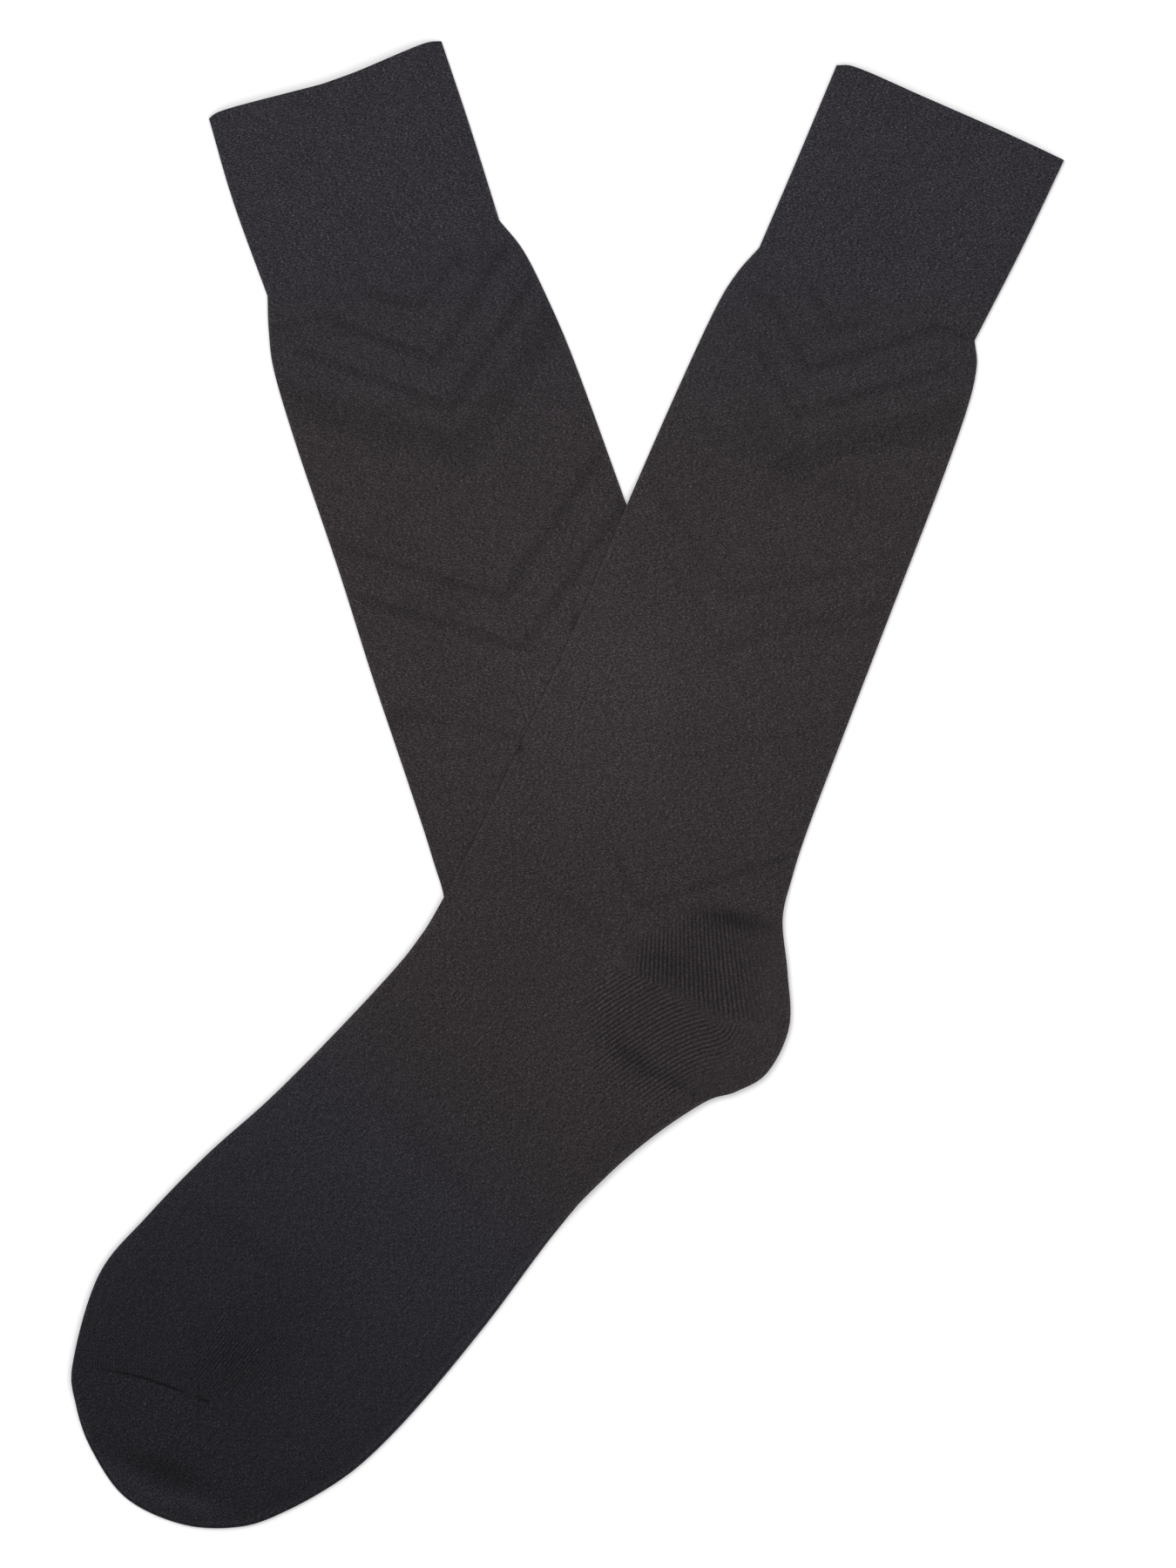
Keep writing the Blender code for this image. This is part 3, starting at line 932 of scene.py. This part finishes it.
def make_piece(name, built, shell, material):
    """A mesh object from the built points, with its thickness and its maps."""
    index = np.arange(built.rows * built.count).reshape(built.rows, built.count)
    if built.closed:
        index = np.concatenate([index, index[:, :1]], axis=1)
    faces = np.stack([index[:-1, :-1], index[1:, :-1], index[1:, 1:], index[:-1, 1:]],
                     axis=-1).reshape(-1, 4)
    mesh = bpy.data.meshes.new(name)
    mesh.from_pydata(built.points.tolist(), [], faces.tolist())
    loops = np.empty(len(mesh.loops), np.int32)
    mesh.loops.foreach_get("vertex_index", loops)
    across, along = built.knit
    add_map(mesh, "knit", across[loops], along[loops])
    # Each face has its ribs from its own side of the gore line.
    upper, lower, below = (part[loops].reshape(-1, 4) for part in built.ribs)
    wale = np.where(below.mean(axis=1, keepdims=True) > 0.5, lower, upper).ravel()
    add_map(mesh, "rib_map", wale, np.zeros(len(wale)))
    for label, value in built.values.items():
        made = mesh.attributes.new(label, "FLOAT", "POINT")
        made.data.foreach_set("value", value.astype(np.float32))
    piece = bpy.data.objects.new(name, mesh)
    bpy.context.scene.collection.objects.link(piece)
    wall = piece.modifiers.new("wall", "SOLIDIFY")
    wall.thickness = shell * MM
    wall.offset = -1.0
    solid = bpy.data.meshes.new_from_object(
        piece.evaluated_get(bpy.context.evaluated_depsgraph_get()))
    piece.modifiers.clear()
    piece.data = solid
    solid.name = name
    solid.shade_smooth()
    solid.set_sharp_from_angle(angle=math.radians(60))
    solid.materials.clear()
    solid.materials.append(material)
    return piece


# ------------------------------------------------------------------ materials

class Knit(NamedTuple):
    """A knit: distance between wales and courses in mm, and how they show; its contrast is
    the painted shade of the low stitches.
    """
    wale: float
    course: float
    relief: float
    contrast: float
    slant: float
    fuzz: float


KNITS = {
    "cuff": Knit(1.05, 0.56, 0.12, 0.12, 0.3, 5.8),
    "leg": Knit(0.90, 0.60, 0.12, 0.12, 0.4, 4.9),
    "heel": Knit(0.90, 0.60, 0.12, 0.12, 0.4, 3.6),
    "foot": Knit(0.95, 0.62, 0.12, 0.16, 0.4, 5.0),
    "toe": Knit(0.90, 0.62, 0.12, 0.22, 0.3, 6.0),
}
RIB_CONTRAST = 1.05     # of the painted shade in the low stitches of the heel's ribs
MIDDLE = 0.55           # the height of the knit that has its plain colour
FUZZ_LONG = 0.78        # length of the fibres that show across the sock, in mm
FUZZ_SHORT = 0.36       # and along it
FUZZ_HEIGHT = 0.5       # beside that of the stitches
MELANGE = 0.9           # how much larger patches vary
MELANGE_FINE = 620.0    # how fine they are
WOBBLE_FINE = 420.0     # how fine the unevenness of the stitches is
WALE_WOBBLE, COURSE_WOBBLE, RIB_WOBBLE = 1.2, 3.0, 0.35
WALE_HEIGHT, STITCH_HEIGHT = 0.60, 0.40
RIB_HEIGHT, RIB_STITCH = 0.8, 0.2
WARM_BLACK = (0.0262, 0.0222, 0.0231)
COOL_BLACK = (0.0236, 0.0226, 0.0286)
ROUGHNESS, SPECULAR, SHEEN, SHEEN_ROUGHNESS = 0.86, 0.08, 0.02, 0.5


class Nodes:
    """A few helpers that keep the node trees readable."""

    def __init__(self, material):
        material.use_nodes = True
        self.tree = material.node_tree
        self.shader = self.tree.nodes["Principled BSDF"]

    def add(self, kind, **settings):
        node = self.tree.nodes.new(kind)
        for name, value in settings.items():
            setattr(node, name, value)
        return node

    def link(self, source, target):
        self.tree.links.new(source, target)

    def math(self, operation, a, b=None):
        node = self.add("ShaderNodeMath", operation=operation)
        for socket, value in zip(node.inputs, (a, b)):
            if value is None:
                continue
            if isinstance(value, (int, float)):
                socket.default_value = value
            else:
                self.link(value, socket)
        return node.outputs[0]

    def plus(self, a, b):
        return self.math("ADD", a, b)

    def times(self, a, b):
        return self.math("MULTIPLY", a, b)

    def wave(self, phase):
        """A sine of the phase in turns, between 0 and 1."""
        sine = self.math("SINE", self.times(phase, 2 * math.pi))
        return self.plus(self.times(sine, 0.5), 0.5)

    def noise(self, vector, scale, detail, roughness=0.5):
        node = self.add("ShaderNodeTexNoise")
        self.link(vector, node.inputs["Vector"])
        for name, value in (("Scale", scale), ("Detail", detail), ("Roughness", roughness)):
            node.inputs[name].default_value = value
        return node.outputs["Fac"]

    def attribute(self, name):
        return self.add("ShaderNodeAttribute", attribute_name=name).outputs["Fac"]

    def map_axes(self, name):
        """A map's two axes, in units of its own."""
        split = self.add("ShaderNodeSeparateXYZ")
        self.link(self.add("ShaderNodeUVMap", uv_map=name).outputs["UV"], split.inputs[0])
        return split.outputs["X"], split.outputs["Y"]

    def mix(self, kind, factor, a, b):
        node = self.add("ShaderNodeMix", data_type=kind)
        self.link(factor, node.inputs["Factor"])
        for name, value in (("A", a), ("B", b)):
            if isinstance(value, tuple):
                node.inputs[name].default_value = (*value, 1)
            else:
                self.link(value, node.inputs[name])
        return node.outputs["Result"]


def stitch_height(n, knit, place):
    """The height of the stitches and the ribs, and of the plain stitches' legs."""
    across, along = n.map_axes("knit")
    shift = n.math("SUBTRACT", n.noise(place, WOBBLE_FINE, 2.0), 0.5)
    wale = n.plus(n.times(across, MAP_UNIT / knit.wale), n.times(shift, WALE_WOBBLE))
    course = n.plus(n.times(along, MAP_UNIT / knit.course), n.times(shift, COURSE_WOBBLE))
    # A wale is highest along its middle, and its two rows of legs slant.
    off_middle = n.math("ABSOLUTE", n.math("SUBTRACT", n.math("FRACT", wale), 0.5))
    ridge = n.math("SUBTRACT", 1.0, n.math("POWER", n.times(off_middle, 2.0), 2.0))
    legs = n.wave(n.plus(course, n.times(off_middle, 2 * knit.slant)))
    plain = n.plus(n.times(ridge, WALE_HEIGHT), n.times(legs, STITCH_HEIGHT))
    # The heel is knitted in clear ribs, which fade out past it.
    rib, _ = n.map_axes("rib_map")
    rib = n.wave(n.plus(n.times(rib, MAP_UNIT), n.times(shift, RIB_WOBBLE)))
    rib = n.plus(n.times(rib, RIB_HEIGHT), n.times(legs, RIB_STITCH))
    return n.mix("FLOAT", n.attribute("ribs"), plain, rib)


def fibres(n):
    """The fibres of the yarn, which lie across the sock."""
    stretch = n.add("ShaderNodeVectorMath", operation="MULTIPLY")
    n.link(n.add("ShaderNodeUVMap", uv_map="knit").outputs["UV"], stretch.inputs[0])
    stretch.inputs[1].default_value = (MAP_UNIT / FUZZ_LONG, MAP_UNIT / FUZZ_SHORT, 1.0)
    return n.noise(stretch.outputs[0], 1.0, 2.0, 0.65)


def knit_material(name, knit):
    """Fine matt knit: wales of slanting stitches, fuzz, and painted light and shade."""
    material = bpy.data.materials.new(name)
    n = Nodes(material)
    place = n.add("ShaderNodeTexCoord").outputs["Object"]
    height = stitch_height(n, knit, place)
    fuzz = fibres(n)
    melange = n.noise(place, MELANGE_FINE, 3.0)

    bump = n.add("ShaderNodeBump")
    bump.inputs["Strength"].default_value = 1.0
    bump.inputs["Distance"].default_value = knit.relief * MM
    n.link(n.plus(height, n.times(fuzz, FUZZ_HEIGHT)), bump.inputs["Height"])
    n.link(bump.outputs["Normal"], n.shader.inputs["Normal"])

    # Painted shade in the low stitches, most of all in the ribs.
    contrast = n.plus(knit.contrast,
                      n.times(n.attribute("ribs"), RIB_CONTRAST - knit.contrast))
    stitch_shade = n.plus(1.0, n.times(n.math("SUBTRACT", height, MIDDLE), contrast))
    # Lighter and darker fibres, with more light specks than dark ones.
    speckle = n.plus(n.times(fuzz, knit.fuzz), n.times(melange, MELANGE))
    mottle = n.math("EXPONENT", n.math("SUBTRACT", speckle, (knit.fuzz + MELANGE) / 2))
    light = n.times(n.times(n.attribute("light"), stitch_shade), mottle)
    tint = n.mix("RGBA", n.attribute("warm"), COOL_BLACK, WARM_BLACK)
    colour = n.add("ShaderNodeVectorMath", operation="SCALE")
    n.link(tint, colour.inputs[0])
    n.link(light, colour.inputs["Scale"])
    n.link(colour.outputs[0], n.shader.inputs["Base Color"])
    n.shader.inputs["Roughness"].default_value = ROUGHNESS
    n.shader.inputs["Specular IOR Level"].default_value = SPECULAR
    n.shader.inputs["Sheen Weight"].default_value = SHEEN
    n.shader.inputs["Sheen Roughness"].default_value = SHEEN_ROUGHNESS
    return material


# ------------------------------------------------------------------ the pair


def build_sock(sock, materials):
    for zone in sock.lines:
        node = f"{sock.side}_{zone}"
        shell = CUFF_SHELL if zone == "cuff" else SHELL
        piece = make_piece(f"{node}_knit", build_zone(sock, zone), shell, materials[zone])
        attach(piece, "root")
        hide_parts(node)


def make_pair():
    materials = {zone: knit_material(f"{zone}_knit", knit) for zone, knit in KNITS.items()}
    lower_cut = (LOWER_CUFF, LOWER_LEG, LOWER_GORE, LOWER_HEEL, -1)
    upper_cut = (UPPER_CUFF, UPPER_LEG, UPPER_GORE, UPPER_HEEL, 1)
    lower_lines = sock_lines(*lower_cut, ALONG_STEP)
    upper_lines = sock_lines(*upper_cut, ALONG_STEP)
    lower_outline = outline_of(sock_lines(*lower_cut, OUTLINE_STEP))
    upper_outline = outline_of(sock_lines(*upper_cut, OUTLINE_STEP))

    def on_surface(points):
        return np.zeros(len(points))

    def over_lower(points):
        inside, out = distances_from(points, lower_outline)
        raised = thickness_at(inside - FOLD) + LAY_GAP
        return raised * (1 - Fade(DRAPE_CLEAR, DRAPE_RUN).at(out))

    build_sock(Sock("lower", lower_lines, lower_outline, heel_outline(lower_lines),
                    back_line(lower_lines), on_surface, LOWER_CREASES, LOWER_BANDS,
                    LOWER_LEG_FRAME, LOWER_GORE, LOWER_HEEL, seed=1.7), materials)
    build_sock(Sock("upper", upper_lines, upper_outline, heel_outline(upper_lines),
                    back_line(upper_lines), over_lower, UPPER_CREASES, UPPER_BANDS,
                    UPPER_LEG_FRAME, UPPER_GORE, UPPER_HEEL, seed=0.6), materials)


# ------------------------------------------------------------------ stage and camera

class Lamp(NamedTuple):
    """A square area light that faces the origin, in metres and watts."""
    name: str
    place: tuple
    size: float
    power: float


LAMPS = (Lamp("key", (-1.1, 1.2, 1.6), 1.4, 26.0), Lamp("fill", (1.4, -0.8, 1.8), 1.6, 17.0))
SKY = 0.68
FLOOR_SIZE = 4.0
FLOOR_GAP = 0.0002    # the socks lie this far above it


def make_floor():
    bpy.ops.mesh.primitive_plane_add(size=FLOOR_SIZE, location=(0, 0, -FLOOR_GAP))
    floor = bpy.context.object
    floor.name = "floor"
    material = bpy.data.materials.new("white_surface")
    material.use_nodes = True
    shader = material.node_tree.nodes["Principled BSDF"]
    shader.inputs["Base Color"].default_value = (0.93, 0.93, 0.93, 1)
    shader.inputs["Roughness"].default_value = 0.9
    shader.inputs["Specular IOR Level"].default_value = 0.1
    floor.data.materials.append(material)


def make_lamp(lamp):
    data = bpy.data.lights.new(lamp.name, "AREA")
    data.shape = "SQUARE"
    data.size = lamp.size
    data.energy = lamp.power
    light = bpy.data.objects.new(lamp.name, data)
    light.location = lamp.place
    light.rotation_euler = (-Vector(lamp.place)).to_track_quat("-Z", "Y").to_euler()
    bpy.context.scene.collection.objects.link(light)


def make_stage():
    make_floor()
    world = bpy.data.worlds.new("studio")
    bpy.context.scene.world = world
    world.use_nodes = True
    sky = world.node_tree.nodes["Background"]
    sky.inputs["Color"].default_value = (1, 1, 1, 1)
    sky.inputs["Strength"].default_value = SKY
    for lamp in LAMPS:
        make_lamp(lamp)
    bpy.context.scene.view_settings.view_transform = "Standard"


# The camera looks straight down and takes in 357.8 by 477 mm of the surface.
VIEW_HEIGHT = 0.477
VIEW_CENTRE = (0.006, 0.0003)
LENS = 200.0
SENSOR = 36.0
CLIP_END = 20.0


def make_camera():
    data = bpy.data.cameras.new("camera")
    data.lens = LENS
    data.sensor_width = SENSOR
    data.sensor_fit = "VERTICAL"
    data.sensor_height = SENSOR
    data.clip_end = CLIP_END
    camera = bpy.data.objects.new("camera", data)
    camera.location = (*VIEW_CENTRE, VIEW_HEIGHT * LENS / SENSOR)
    bpy.context.scene.collection.objects.link(camera)
    bpy.context.scene.camera = camera


make_camera()
make_stage()
make_pair()
